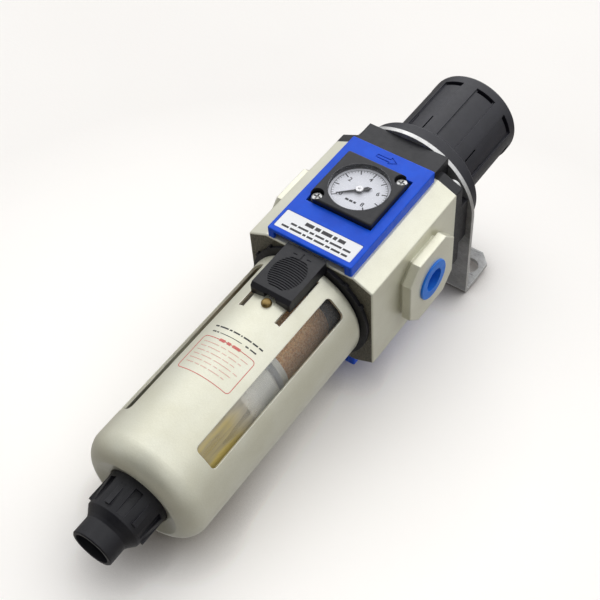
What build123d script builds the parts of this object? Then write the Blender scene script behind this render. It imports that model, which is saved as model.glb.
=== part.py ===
from build123d import *
import math
import os

# Filter-regulator for compressed air, in millimetres.
# Origin: where the axis of the two ports crosses the main axis.
# +Z runs up the main axis to the adjusting knob, -Y is the gauge side, +X is the outlet port.

# ---- driving dimensions ----------------------------------------------------------------------

# body casting
BODY_HALF_X = 29.35
BODY_HALF_Y = 26.3
BODY_FACET_X = 20.7
BODY_FACET_Y = 22.2
BODY_BOTTOM = -35.25
BODY_TOP = 26.25
BODY_EDGE = 0.9

# ports
PORT_FACE_X = 35.0
PORT_FLANGE_X = 31.0
PORT_HALF_Y = 16.9
PORT_HALF_Z = 16.4
PORT_CORNER = 6.75
PORT_STEP = 1.5
PORT_RADIUS = 5.72
PORT_THREAD_END = 21.0
PORT_RIM = 0.6
PASSAGE_RADIUS = 5.0
INLET_END = 12.0
INLET_DROP_X = 15.5
INLET_DROP_RADIUS = 3.4

# bores along the main axis
BOWL_SOCKET_RADIUS = 23.4
BOWL_SOCKET_TOP = -15.0
GUIDE_BORE_RADIUS = 9.0
SEAT_BOTTOM = -9.0
SEAT_TOP = -6.0
SEAT_RADIUS = 4.5
OUTLET_RADIUS = 9.0
OUTLET_TOP = 8.0
STEM_RADIUS = 1.5
RUNNING_GAP = 0.05
DIAPHRAGM_FLOOR = 15.0
DIAPHRAGM_CHAMBER_RADIUS = 18.0
RIM_RADIUS = 22.0
RIM_HEIGHT = 2.5

# covers
COVER_HALF_X = 19.67
COVER_BOTTOM = -34.93
COVER_TOP = 25.22
COVER_FACE_Y = 31.4
COVER_WALL = 1.4
COVER_RETURN = 3.0
PEG_RADIUS = 1.4
PEG_LENGTH = 3.6
PEG_PLACES = [(-17.0, 21.0), (17.0, 21.0), (-17.0, -20.0), (17.0, -20.0)]
LABEL_WIDTH = 35.8
LABEL_HEIGHT = 9.7
LABEL_X = -0.3
LABEL_Z = -27.8
LABEL_DEPTH = 0.3

# gauge
GAUGE_Z = 0.24
GAUGE_HALF = 15.1
GAUGE_FACE_Y = 33.9
GAUGE_LENS_RADIUS = 12.6
LENS_RISE = 0.7
GAUGE_FLOOR_Y = 28.0
GAUGE_CORNER = 1.2
GAUGE_EDGE = 0.9
DIAL_Y = 31.0
DIAL_THICKNESS = 0.3
NEEDLE_Y = 31.8
NEEDLE_REST = 221.0
GAUGE_SCREW_OFFSET = 12.0
GAUGE_SCREW_SUNK = 1.7
GAUGE_SCREW_HEAD = 2.4
GAUGE_SCREW_HEIGHT = 1.3

# bonnet, bracket and panel nut
BONNET_FLANGE_TOP = 31.1
BONNET_DECK = 36.6
BONNET_BLOCK_HALF_X = 19.0
BONNET_BLOCK_Y = 29.5
BONNET_SIDE_HALF_Y = 11.0
BONNET_RING_RADIUS = 25.0
NECK_RADIUS = 21.8
NECK_TOP = 51.0
DOME_RADIUS = 17.0
DOME_TOP = 78.0
SPRING_BORE_RADIUS = 14.6
BONNET_SCREW = (24.0, 18.5)
BRACKET_BOTTOM = 36.7
BRACKET_THICKNESS = 2.0
BRACKET_RADIUS = 31.8
BRACKET_BACK_Y = 50.4
FOOT_TOP = 61.2
FOOT_CORNER = 4.9
FOOT_SLOT_Z = 51.0
FOOT_SLOT_SPACING = 49.0
FOOT_SLOT_LENGTH = 10.4
FOOT_SLOT_RADIUS = 4.4
NUT_RADIUS = 28.07
NUT_RIM_TOP = 46.9
NUT_TOP = 51.7

# knob, adjusting screw and spring
PLATE_TOP = 27.0
KNOB_RADIUS = 21.4
KNOB_BOTTOM = 52.0
KNOB_TOP = 92.7
KNOB_INNER_RADIUS = 17.6
KNOB_PANELS = 8
KNOB_PANEL_HALF_ANGLE = 13.5
KNOB_PANEL_DEPTH = 0.7
KNOB_PANEL_TOP = 87.5
KNOB_SLIT_ANGLE = 10.7
SCREW_RADIUS = 4.0
HEX_RADIUS = 5.0
SEAT_NUT_TOP = 66.0
MAIN_COIL_RADIUS = 10.5
MAIN_WIRE_RADIUS = 1.25

# bowl, guard and lock
BOWL_RADIUS = 23.2
BOWL_INNER_RADIUS = 20.8
BOWL_TOP = -16.5
BOWL_DOME = -121.0
BOWL_BOTTOM = -135.6
BOWL_FLOOR = -134.2
GUARD_RADIUS = 25.8
GUARD_WALL = 1.2
GUARD_TOP = -37.0
GUARD_ROUNDING = 3.0
GUARD_SHOULDER = -135.0
SHOULDER_RADIUS = 9.0
SHOULDER_SWEEP = 80.0
GUARD_HOLE_RADIUS = 13.2
GUARD_LIP = -142.3
WINDOW_START_ANGLE = 35.8
WINDOW_END_ANGLE = 59.3
WINDOW_BOTTOM = -124.5
WINDOW_TOP = -43.8
WINDOW_CORNER = 2.0
TONGUE_HALF_X = 7.2
SLIT_OUTER_X = 9.6
SLIT_BOTTOM = -67.2
SLIT_TOP = -42.0
RING_RADIUS = 27.8
BAYONET_ANGLES = (40, 140, 220, 320)
BUTTON_HALF_X = 9.2
BUTTON_FACE_Y = 29.5
BUTTON_TOP = -35.6
BUTTON_BOTTOM = -60.1
BUTTON_WALL = 1.3
RIDGES = 15
RIDGE_PITCH = 1.08
GRIP_HALF_X = 7.0
RIVET_Z = -62.2
RIVET_RADIUS = 2.1

# filter
ELEMENT_RADIUS = 14.0
ELEMENT_INNER_RADIUS = 10.5
ELEMENT_TOP = -43.0
ELEMENT_BOTTOM = -73.0
SKIRT_RADIUS = 18.5
SKIRT_BOTTOM = -96.0
STUD_RADIUS = 2.5

# drain
DRAIN_TOP = -141.4
DRAIN_TOP_RADIUS = 12.9
RIB_ANGLE = 24.0
DRAIN_LOW_RADIUS = 11.4
DRAIN_LOW = -156.2
SPIGOT_RADIUS = 8.7
SPIGOT_BOTTOM = -167.5
SPIGOT_BORE_RADIUS = 7.2
BOSS_RADIUS = 6.0
BOSS_BOTTOM = -150.0
DRAIN_BORE_RADIUS = 3.0
DRAIN_STEM_RADIUS = 2.0
SPIGOT_BORE_TOP = -157.5
FOOT_POCKET_RADIUS = 4.2
WEB_LOW = -154.4
WEB_TOP = -153.0

# outlet plug
PLUG_FLANGE_RADIUS = 9.1
PLUG_INNER_RADIUS = 5.2


# ---- helpers ---------------------------------------------------------------------------------

def front(depth):
    """The plane that faces the gauge side, a given distance in front of the main axis."""
    return Plane.XZ.offset(depth)


def disc(z_low, z_high, radius, mode=Mode.ADD):
    """A round plate, or a round bore, on the main axis."""
    with BuildSketch(Plane.XY.offset(z_low)) as outline:
        Circle(radius)
    extrude(outline.sketch, amount=z_high - z_low, mode=mode)


def tube(z_low, z_high, outer, inner, mode=Mode.ADD):
    """A ring on the main axis."""
    with BuildSketch(Plane.XY.offset(z_low)) as outline:
        Circle(outer)
        Circle(inner, mode=Mode.SUBTRACT)
    extrude(outline.sketch, amount=z_high - z_low, mode=mode)


def turned(points, mode=Mode.ADD):
    """A body of revolution about the main axis from its (radius, height) outline."""
    with BuildSketch(Plane.XZ) as profile:
        with BuildLine():
            Polyline(*points, close=True)
        make_face()
    revolve(profile.sketch, axis=Axis.Z, mode=mode)


def round_at(plane, places, radius, amount, mode=Mode.ADD):
    """Round posts or holes at places on a plane."""
    with BuildSketch(plane) as outline:
        with Locations(*places):
            Circle(radius)
    extrude(outline.sketch, amount=amount, mode=mode)


def block(plane, x_range, y_range, amount, mode=Mode.ADD):
    """A rectangular block on a plane, from its local x and y ranges."""
    middle = ((x_range[0] + x_range[1]) / 2, (y_range[0] + y_range[1]) / 2)
    with BuildSketch(plane) as outline:
        with Locations(middle):
            Rectangle(x_range[1] - x_range[0], y_range[1] - y_range[0])
    extrude(outline.sketch, amount=amount, mode=mode)


def wedges(z_low, z_high, inner, outer, half_angle, count, start_angle, mode):
    """Equal sectors around the main axis between two radii."""
    reach = outer / math.cos(math.radians(half_angle))
    tip_x = reach * math.cos(math.radians(half_angle))
    tip_y = reach * math.sin(math.radians(half_angle))
    with BuildSketch(Plane.XY.offset(z_low)) as outline:
        with PolarLocations(0, count, start_angle=start_angle):
            Polygon((0, 0), (tip_x, -tip_y), (tip_x, tip_y), align=None)
        Circle(inner, mode=Mode.SUBTRACT)
    extrude(outline.sketch, amount=z_high - z_low, mode=mode)


def body_outline(z_low, z_high):
    """The eight-sided plan of the casting, as a block."""
    with BuildSketch(Plane.XY.offset(z_low)) as plan:
        with BuildLine():
            Polyline(
                (BODY_HALF_X, -BODY_FACET_Y), (BODY_HALF_X, BODY_FACET_Y),
                (BODY_FACET_X, BODY_HALF_Y), (-BODY_FACET_X, BODY_HALF_Y),
                (-BODY_HALF_X, BODY_FACET_Y), (-BODY_HALF_X, -BODY_FACET_Y),
                (-BODY_FACET_X, -BODY_HALF_Y), (BODY_FACET_X, -BODY_HALF_Y), close=True,
            )
        make_face()
    extrude(plan.sketch, amount=z_high - z_low)


def coil(mean_radius, wire_radius, z_low, z_high, turns, x=0.0, y=0.0):
    """An open coil spring that stands on z_low and reaches z_high."""
    height = z_high - z_low - 2 * wire_radius
    start = (x, y, z_low + wire_radius)
    with BuildLine() as path:
        Helix(pitch=height / turns, height=height, radius=mean_radius, center=start)
    with BuildSketch(Plane(origin=path.line @ 0, z_dir=path.line % 0)) as wire:
        Circle(wire_radius)
    sweep(wire.sketch, path=path.line)


def save(part, name):
    part.label = name
    export_step(part, f"parts/{name}.step")


os.makedirs("parts", exist_ok=True)

# ---- body: die casting with ports and bores --------------------------------------------------

def port_boss(side):
    """One stepped, eight-sided port boss, on the +X or the -X side."""
    steps = [(BODY_HALF_X - 2, PORT_FLANGE_X, PORT_STEP), (PORT_FLANGE_X, PORT_FACE_X, 0)]
    for start, end, inset in steps:
        with BuildSketch(Plane.YZ.offset(side * start)) as face:
            Rectangle(2 * (PORT_HALF_Y - inset), 2 * (PORT_HALF_Z - inset))
            chamfer(face.vertices(), PORT_CORNER)
        extrude(face.sketch, amount=side * (end - start))


def port_bore(side, passage_end):
    """The threaded mouth and the passage behind it, cut from one port face inwards."""
    face = Plane.YZ.offset(side * PORT_FACE_X)
    round_at(face, [(0, 0)], PORT_RADIUS, -side * (PORT_FACE_X - PORT_THREAD_END), Mode.SUBTRACT)
    round_at(face, [(0, 0)], PASSAGE_RADIUS, -side * (PORT_FACE_X - passage_end), Mode.SUBTRACT)


with BuildPart() as body:
    body_outline(BODY_BOTTOM, BODY_TOP)
    fillet(body.edges().filter_by(Axis.Z), BODY_EDGE)
    fillet(body.faces().sort_by(Axis.Z)[0].edges(), BODY_EDGE)
    for side in (-1, 1):
        port_boss(side)
    port_rims = body.edges().group_by(Axis.X)
    fillet(port_rims[0] + port_rims[-1], PORT_RIM)
    # bores on the main axis, from the bowl socket up to the diaphragm
    disc(BODY_BOTTOM - 1, BOWL_SOCKET_TOP, BOWL_SOCKET_RADIUS, Mode.SUBTRACT)
    disc(BOWL_SOCKET_TOP - 1, SEAT_BOTTOM, GUIDE_BORE_RADIUS, Mode.SUBTRACT)
    disc(SEAT_BOTTOM - 1, SEAT_TOP + 1, SEAT_RADIUS, Mode.SUBTRACT)
    disc(SEAT_TOP, OUTLET_TOP, OUTLET_RADIUS, Mode.SUBTRACT)
    disc(OUTLET_TOP - 1, DIAPHRAGM_FLOOR + 1, STEM_RADIUS + RUNNING_GAP, Mode.SUBTRACT)
    disc(DIAPHRAGM_FLOOR, BODY_TOP + 1, DIAPHRAGM_CHAMBER_RADIUS, Mode.SUBTRACT)
    disc(BODY_TOP - RIM_HEIGHT, BODY_TOP + 1, RIM_RADIUS, Mode.SUBTRACT)
    # pressure sensing hole beside the stem
    wall = DIAPHRAGM_FLOOR - OUTLET_TOP
    round_at(Plane.XY.offset(OUTLET_TOP - 1), [(0, 6)], 0.9, wall + 2, Mode.SUBTRACT)
    # ports, and the drop passage from the inlet to the bowl
    port_bore(-1, INLET_END)
    port_bore(1, OUTLET_RADIUS - 2)
    drop = Plane.XY.offset(BOWL_SOCKET_TOP - 1)
    round_at(drop, [(-INLET_DROP_X, 0)], INLET_DROP_RADIUS, -BOWL_SOCKET_TOP + 1, Mode.SUBTRACT)
    # bayonet pockets in the underside corners
    for angle in BAYONET_ANGLES:
        wedges(BODY_BOTTOM - 1, -28.0, BOWL_SOCKET_RADIUS - 1, 27.2, 12, 1, angle, Mode.SUBTRACT)
    # gauge socket, cover peg holes and screw holes
    round_at(front(BODY_HALF_Y + 1), [(0, GAUGE_Z)], 5.0, -7.0, Mode.SUBTRACT)
    round_at(front(BODY_HALF_Y), [(0, GAUGE_Z)], 1.5, -(BODY_HALF_Y - OUTLET_RADIUS + 1), Mode.SUBTRACT)
    for plane, inward in ((front(BODY_HALF_Y), -1), (front(-BODY_HALF_Y), 1)):
        round_at(plane, PEG_PLACES, PEG_RADIUS + 0.1, inward * (PEG_LENGTH + 0.4), Mode.SUBTRACT)
    gauge_screw_places = [
        (-GAUGE_SCREW_OFFSET, GAUGE_Z - GAUGE_SCREW_OFFSET),
        (GAUGE_SCREW_OFFSET, GAUGE_Z + GAUGE_SCREW_OFFSET),
    ]
    round_at(front(BODY_HALF_Y), gauge_screw_places, 1.55, -7.0, Mode.SUBTRACT)
    bonnet_screw_places = [(x * BONNET_SCREW[0], y * BONNET_SCREW[1]) for x in (-1, 1) for y in (-1, 1)]
    round_at(Plane.XY.offset(BODY_TOP), bonnet_screw_places, 2.05, -12.0, Mode.SUBTRACT)
save(body.part, "body")

# ---- front and rear covers, label ------------------------------------------------------------

def cover_shell(outward):
    """A shallow channel whose rim stands on the casting, open at the lower end."""
    face = front(outward * COVER_FACE_Y)
    depth = COVER_FACE_Y - BODY_HALF_Y
    span_z = (COVER_BOTTOM, COVER_TOP)
    block(face, (-COVER_HALF_X, COVER_HALF_X), span_z, -outward * depth)
    inner = (-COVER_HALF_X + COVER_WALL, COVER_HALF_X - COVER_WALL)
    inner_face = front(outward * (COVER_FACE_Y - COVER_WALL))
    inner_z = (COVER_BOTTOM + COVER_WALL, COVER_TOP - COVER_WALL)
    block(inner_face, inner, inner_z, -outward * depth, Mode.SUBTRACT)
    mouth = (-COVER_HALF_X + COVER_RETURN, COVER_HALF_X - COVER_RETURN)
    mouth_z = (COVER_BOTTOM - 1, COVER_BOTTOM + COVER_WALL + 1)
    block(inner_face, mouth, mouth_z, -outward * depth, Mode.SUBTRACT)


def cover_pegs(outward):
    """Snap pegs in the four corners, from the plate into the casting."""
    peg_root = front(outward * (COVER_FACE_Y - COVER_WALL))
    length = COVER_FACE_Y - COVER_WALL - BODY_HALF_Y + PEG_LENGTH
    round_at(peg_root, PEG_PLACES, PEG_RADIUS, -outward * length)


with BuildPart() as front_cover:
    cover_shell(1)
    fillet(front_cover.edges().filter_by(Axis.Y).group_by(SortBy.LENGTH)[-1], 0.8)
    fillet(front_cover.faces().sort_by(Axis.Y)[0].outer_wire().edges(), 0.5)
    cover_pegs(1)
    gauge_window = (-GAUGE_HALF - 0.2, GAUGE_HALF + 0.2)
    window_z = (GAUGE_Z - GAUGE_HALF - 0.2, GAUGE_Z + GAUGE_HALF + 0.2)
    block(front(COVER_FACE_Y), gauge_window, window_z, -COVER_WALL - 0.5, Mode.SUBTRACT)
    label_x = (LABEL_X - LABEL_WIDTH / 2, LABEL_X + LABEL_WIDTH / 2)
    label_z = (LABEL_Z - LABEL_HEIGHT / 2, LABEL_Z + LABEL_HEIGHT / 2)
    block(front(COVER_FACE_Y), label_x, label_z, -LABEL_DEPTH, Mode.SUBTRACT)
    # flow arrow, engraved in outline, pointing to the outlet
    with BuildSketch(front(COVER_FACE_Y)) as arrow:
        with Locations((-0.3, 20.6)):
            Polygon((-5, -1), (1.2, -1), (1.2, -2.3), (5, 0), (1.2, 2.3), (1.2, 1), (-5, 1), align=None)
        offset(amount=-0.5, mode=Mode.SUBTRACT)
    extrude(arrow.sketch, amount=-0.35, mode=Mode.SUBTRACT)
save(front_cover.part, "front_cover")

with BuildPart() as rear_cover:
    cover_shell(-1)
    fillet(rear_cover.edges().filter_by(Axis.Y).group_by(SortBy.LENGTH)[-1], 0.8)
    fillet(rear_cover.faces().sort_by(Axis.Y)[-1].outer_wire().edges(), 0.5)
    cover_pegs(-1)
save(rear_cover.part, "rear_cover")

with BuildPart() as label_plate:
    with BuildSketch(front(COVER_FACE_Y - LABEL_DEPTH)):
        with Locations((LABEL_X, LABEL_Z)):
            RectangleRounded(LABEL_WIDTH - 0.3, LABEL_HEIGHT - 0.3, 0.5)
    extrude(amount=LABEL_DEPTH - 0.08)
save(label_plate.part, "label_plate")

# ---- pressure gauge --------------------------------------------------------------------------

with BuildPart() as gauge_case:
    with BuildSketch(front(BODY_HALF_Y)) as square:
        with Locations((0, GAUGE_Z)):
            Rectangle(2 * GAUGE_HALF, 2 * GAUGE_HALF)
        by_diagonal = square.vertices().sort_by(lambda corner: corner.X + corner.Y)
        fillet([by_diagonal[0], by_diagonal[-1]], 4.0)
        fillet(square.vertices().sort_by(lambda corner: corner.X - corner.Y)[0], GAUGE_CORNER)
        fillet(square.vertices().sort_by(lambda corner: corner.X - corner.Y)[-1], GAUGE_CORNER)
    extrude(amount=GAUGE_FACE_Y - BODY_HALF_Y)
    fillet(gauge_case.faces().sort_by(Axis.Y)[0].edges(), GAUGE_EDGE)
    gauge_centre = [(0, GAUGE_Z)]
    lens_depth = GAUGE_FACE_Y - DIAL_Y
    round_at(front(GAUGE_FACE_Y), gauge_centre, GAUGE_LENS_RADIUS, -lens_depth, Mode.SUBTRACT)
    inner_depth = GAUGE_FACE_Y - GAUGE_FLOOR_Y
    round_at(front(GAUGE_FACE_Y), gauge_centre, GAUGE_LENS_RADIUS - 0.8, -inner_depth, Mode.SUBTRACT)
    # counterbored screw holes in two corners
    counterbore = GAUGE_SCREW_SUNK + GAUGE_SCREW_HEIGHT
    round_at(front(GAUGE_FACE_Y), gauge_screw_places, GAUGE_SCREW_HEAD + 0.5, -counterbore, Mode.SUBTRACT)
    round_at(front(GAUGE_FACE_Y), gauge_screw_places, 1.6, -8.0, Mode.SUBTRACT)
    # spigot into the casting, with its O-ring groove and the pressure hole
    round_at(front(BODY_HALF_Y), gauge_centre, 4.9, -5.0)
    with BuildSketch(front(23.6)) as groove:
        with Locations((0, GAUGE_Z)):
            Circle(5.5)
            Circle(3.7, mode=Mode.SUBTRACT)
    extrude(groove.sketch, amount=1.6, mode=Mode.SUBTRACT)
    round_at(front(GAUGE_FLOOR_Y + 0.1), gauge_centre, 0.8, -8.0, Mode.SUBTRACT)
save(gauge_case.part, "gauge_case")

with BuildPart() as gauge_o_ring:
    with BuildSketch(Plane.YZ) as ring_section:
        with Locations((-24.4, GAUGE_Z + 4.33)):
            Circle(0.6)
    revolve(ring_section.sketch, axis=Axis((0, 0, GAUGE_Z), (0, 1, 0)))
save(gauge_o_ring.part, "gauge_o_ring")

with BuildPart() as gauge_dial:
    with BuildSketch(front(DIAL_Y)):
        with Locations((0, GAUGE_Z)):
            Circle(GAUGE_LENS_RADIUS - 0.1)
            Circle(0.75, mode=Mode.SUBTRACT)
    extrude(amount=DIAL_THICKNESS)
save(gauge_dial.part, "gauge_dial")

with BuildPart() as gauge_movement:
    # bourdon tube: three quarters of a ring, on a block that stands on the case floor
    tube_y = -29.4
    with BuildLine() as bourdon_path:
        CenterArc((0, 0, 0), 8.0, 20, 250)
    tube_plane = Plane(origin=(0, tube_y, GAUGE_Z), z_dir=(0, -1, 0), x_dir=(1, 0, 0))
    bourdon_line = tube_plane * bourdon_path.line
    with BuildSketch(Plane(origin=bourdon_line @ 0, z_dir=bourdon_line % 0)) as bourdon_section:
        Circle(0.9)
    sweep(bourdon_section.sketch, path=bourdon_line)
    block(front(GAUGE_FLOOR_Y), (0.8, 4.4), (-7.6, -3.0), 2.2)
    block(front(GAUGE_FLOOR_Y), (-1.5, 1.6), (-8.8, -3.0), 2.2)
save(gauge_movement.part, "gauge_movement")

with BuildPart() as gauge_needle:
    with BuildSketch(front(NEEDLE_Y)) as pointer:
        with Locations(Location((0, GAUGE_Z), NEEDLE_REST)):
            Polygon((0, -0.65), (9.4, -0.16), (9.4, 0.16), (0, 0.65), align=None)
            Polygon((0, 0.5), (-3.4, 1.05), (-5.0, 0), (-3.4, -1.05), (0, -0.5), align=None)
    extrude(pointer.sketch, amount=0.3)
    round_at(front(NEEDLE_Y - 0.1), gauge_centre, 1.5, 0.8)
    # arbor through the dial into the case floor
    round_at(front(NEEDLE_Y), gauge_centre, 0.6, -(NEEDLE_Y - GAUGE_FLOOR_Y - 0.3))
save(gauge_needle.part, "gauge_needle")

with BuildPart() as needle_cap:
    round_at(front(NEEDLE_Y + 0.7), gauge_centre, 1.7, 0.45)
    fillet(needle_cap.faces().sort_by(Axis.Y)[0].edges(), 0.25)
    round_at(front(NEEDLE_Y + 1.15), gauge_centre, 0.45, 0.2)
save(needle_cap.part, "needle_cap")

with BuildPart() as gauge_lens:
    lens_back = front(GAUGE_FACE_Y - 1.3)
    round_at(lens_back, gauge_centre, GAUGE_LENS_RADIUS - 0.03, 1.3 + LENS_RISE)
    fillet(gauge_lens.faces().sort_by(Axis.Y)[0].edges(), 0.6)
    round_at(lens_back, gauge_centre, GAUGE_LENS_RADIUS - 1.1, 0.7, Mode.SUBTRACT)
save(gauge_lens.part, "gauge_lens")

with BuildPart() as gauge_screws:
    head_face = front(GAUGE_FACE_Y - GAUGE_SCREW_SUNK)
    round_at(head_face, gauge_screw_places, GAUGE_SCREW_HEAD, -GAUGE_SCREW_HEIGHT)
    fillet(gauge_screws.faces().sort_by(Axis.Y)[:2].edges(), 0.6)
    round_at(front(GAUGE_FACE_Y - counterbore), gauge_screw_places, 1.5, -10.3)
    for x, z in gauge_screw_places:
        block(head_face, (x - 1.5, x + 1.5), (z - 0.35, z + 0.35), -0.8, Mode.SUBTRACT)
        block(head_face, (x - 0.35, x + 0.35), (z - 1.5, z + 1.5), -0.8, Mode.SUBTRACT)
save(gauge_screws.part, "gauge_screws")

# ---- bonnet and its screws -------------------------------------------------------------------

with BuildPart() as bonnet:
    body_outline(BODY_TOP, BONNET_FLANGE_TOP)
    fillet(bonnet.edges().filter_by(Axis.Z), BODY_EDGE)
    deck = Plane.XY.offset(BODY_TOP)
    deck_height = BONNET_DECK - BODY_TOP
    block_x = (-BONNET_BLOCK_HALF_X, BONNET_BLOCK_HALF_X)
    side_y = (-BONNET_SIDE_HALF_Y, BONNET_SIDE_HALF_Y)
    block(deck, block_x, (-BONNET_BLOCK_Y, BONNET_BLOCK_Y), deck_height)
    block(deck, (-BODY_HALF_X, BODY_HALF_X), side_y, deck_height)
    disc(BODY_TOP, BONNET_DECK, BONNET_RING_RADIUS)
    disc(BONNET_DECK, NECK_TOP, NECK_RADIUS)
    chamfer(bonnet.faces().sort_by(Axis.Z)[-1].edges(), 0.8)
    disc(NECK_TOP, DOME_TOP, DOME_RADIUS)
    fillet(bonnet.faces().sort_by(Axis.Z)[-1].edges(), 2.0)
    # spring chamber with two keyways that stop the spring nut turning
    disc(BODY_TOP - 1, DOME_TOP - 4, SPRING_BORE_RADIUS, Mode.SUBTRACT)
    keyway = Plane.XY.offset(45)
    block(keyway, (-15.9, 15.9), (-1.6, 1.6), DOME_TOP - 4 - 45, Mode.SUBTRACT)
    disc(DOME_TOP - 5, DOME_TOP + 1, SCREW_RADIUS + RUNNING_GAP, Mode.SUBTRACT)
    round_at(Plane.XY.offset(BODY_TOP - 1), bonnet_screw_places, 2.2, 8.0, Mode.SUBTRACT)
    # breather hole for the spring chamber
    round_at(front(-NECK_RADIUS - 1), [(0, 44)], 0.8, 10.0, Mode.SUBTRACT)
save(bonnet.part, "bonnet")

with BuildPart() as bonnet_screws:
    round_at(Plane.XY.offset(BONNET_FLANGE_TOP), bonnet_screw_places, 3.2, 3.2)
    fillet(bonnet_screws.faces().sort_by(Axis.Z)[-4:].edges(), 0.5)
    round_at(Plane.XY.offset(BONNET_FLANGE_TOP), bonnet_screw_places, 2.0, -15.0)
    with BuildSketch(Plane.XY.offset(BONNET_FLANGE_TOP + 3.2)) as sockets:
        with Locations(*bonnet_screw_places):
            RegularPolygon(1.7, 6)
    extrude(sockets.sketch, amount=-1.8, mode=Mode.SUBTRACT)
save(bonnet_screws.part, "bonnet_screws")

# ---- mounting bracket and panel nut ----------------------------------------------------------

with BuildPart() as bracket:
    with BuildSketch(Plane.XY.offset(BRACKET_BOTTOM)) as plate:
        Circle(BRACKET_RADIUS)
        with Locations((0, BRACKET_BACK_Y / 2)):
            Rectangle(2 * BRACKET_RADIUS, BRACKET_BACK_Y)
        Circle(NECK_RADIUS + 0.2, mode=Mode.SUBTRACT)
    extrude(plate.sketch, amount=BRACKET_THICKNESS)
    foot_span = (-BRACKET_RADIUS, BRACKET_RADIUS)
    block(front(-BRACKET_BACK_Y), foot_span, (BRACKET_BOTTOM, FOOT_TOP), BRACKET_THICKNESS)
    heel = bracket.edges().filter_by(Axis.X)
    fillet(heel.group_by(lambda e: e.center().Y)[-1].sort_by(Axis.Z)[0], 2.6)
    inner_y = BRACKET_BACK_Y - BRACKET_THICKNESS
    inner_heel = bracket.edges().filter_by(Axis.X).filter_by_position(Axis.Y, inner_y - 0.1, inner_y + 0.1)
    fillet(inner_heel.sort_by(Axis.Z)[0], 0.9)
    upper_corners = bracket.edges().filter_by(Axis.Y).group_by(Axis.Z)[-1]
    chamfer(upper_corners, FOOT_CORNER)
    with BuildSketch(front(-BRACKET_BACK_Y - 1)) as slots:
        with Locations((-FOOT_SLOT_SPACING / 2, FOOT_SLOT_Z), (FOOT_SLOT_SPACING / 2, FOOT_SLOT_Z)):
            SlotOverall(FOOT_SLOT_LENGTH, 2 * FOOT_SLOT_RADIUS)
    extrude(slots.sketch, amount=BRACKET_THICKNESS + 2, mode=Mode.SUBTRACT)
save(bracket.part, "bracket")

with BuildPart() as panel_nut:
    nut_bottom = BRACKET_BOTTOM + BRACKET_THICKNESS
    turned([
        (NECK_RADIUS + RUNNING_GAP, nut_bottom), (NUT_RADIUS - 0.8, nut_bottom),
        (NUT_RADIUS, nut_bottom + 0.8), (NUT_RADIUS, NUT_RIM_TOP),
        (NUT_RADIUS - 1.0, NUT_RIM_TOP + 1.2), (KNOB_RADIUS + 1.2, NUT_TOP),
        (NECK_RADIUS + RUNNING_GAP, NUT_TOP),
    ])
save(panel_nut.part, "panel_nut")

# ---- knob ------------------------------------------------------------------------------------

with BuildPart() as knob:
    disc(KNOB_BOTTOM, KNOB_TOP, KNOB_RADIUS)
    fillet(knob.faces().sort_by(Axis.Z)[-1].edges(), 1.3)
    disc(KNOB_BOTTOM - 1, 84.0, KNOB_INNER_RADIUS, Mode.SUBTRACT)
    # grip panels, each with a deeper shadow groove under its top edge
    panel_floor = KNOB_RADIUS - KNOB_PANEL_DEPTH
    angle = KNOB_PANEL_HALF_ANGLE
    wedges(KNOB_BOTTOM + 1.4, KNOB_PANEL_TOP, panel_floor, 23, angle, KNOB_PANELS, 22.5, Mode.SUBTRACT)
    shadow_low = KNOB_PANEL_TOP - 1.6
    wedges(shadow_low, KNOB_PANEL_TOP, panel_floor - 1.6, 23, angle - 2, KNOB_PANELS, 22.5, Mode.SUBTRACT)
    # spring-finger slits in every other panel
    for slit in (-KNOB_SLIT_ANGLE, KNOB_SLIT_ANGLE):
        wedges(54.5, 63.0, panel_floor - 1.4, 23, 0.9, 4, 67.5 + slit, Mode.SUBTRACT)
    # hub with the hexagonal socket that slides on the adjusting screw
    disc(79.2, 84.5, 8.0)
    with BuildSketch(Plane.XY.offset(79.0)) as socket:
        RegularPolygon(HEX_RADIUS + 0.15, 6)
    extrude(socket.sketch, amount=12.0, mode=Mode.SUBTRACT)
save(knob.part, "knob")

with BuildPart() as adjusting_screw:
    disc(48.0, 79.0, SCREW_RADIUS)
    disc(71.4, DOME_TOP - 4 - RUNNING_GAP, 7.0)
    with BuildSketch(Plane.XY.offset(78.6)):
        RegularPolygon(HEX_RADIUS, 6)
    extrude(amount=8.0)
    chamfer(adjusting_screw.faces().sort_by(Axis.Z)[0].edges(), 0.6)
save(adjusting_screw.part, "adjusting_screw")

with BuildPart() as spring_nut:
    disc(SEAT_NUT_TOP - 4, SEAT_NUT_TOP, 13.6)
    disc(SEAT_NUT_TOP - 8, SEAT_NUT_TOP, 7.4)
    block(Plane.XY.offset(SEAT_NUT_TOP - 4), (-15.6, 15.6), (-1.4, 1.4), 4.0)
    disc(SEAT_NUT_TOP - 9, SEAT_NUT_TOP + 1, SCREW_RADIUS + RUNNING_GAP, Mode.SUBTRACT)
save(spring_nut.part, "spring_nut")

with BuildPart() as main_spring:
    coil(MAIN_COIL_RADIUS, MAIN_WIRE_RADIUS, PLATE_TOP + 0.02, SEAT_NUT_TOP - 4.02, 6.5)
save(main_spring.part, "main_spring")

# ---- diaphragm and its plates ----------------------------------------------------------------

rim_low = BODY_TOP - RIM_HEIGHT
with BuildPart() as diaphragm:
    # thick rim, one rolled convolution and a flat centre
    turned([
        (3.0, 24.4), (13.6, 24.4), (15.0, 22.9), (16.6, 22.9), (17.8, rim_low),
        (RIM_RADIUS - 0.05, rim_low), (RIM_RADIUS - 0.05, BODY_TOP), (18.6, BODY_TOP),
        (17.4, 24.9), (16.2, 24.1), (15.4, 24.1), (14.2, 25.6), (3.0, 25.6),
    ])
save(diaphragm.part, "diaphragm")

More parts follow.
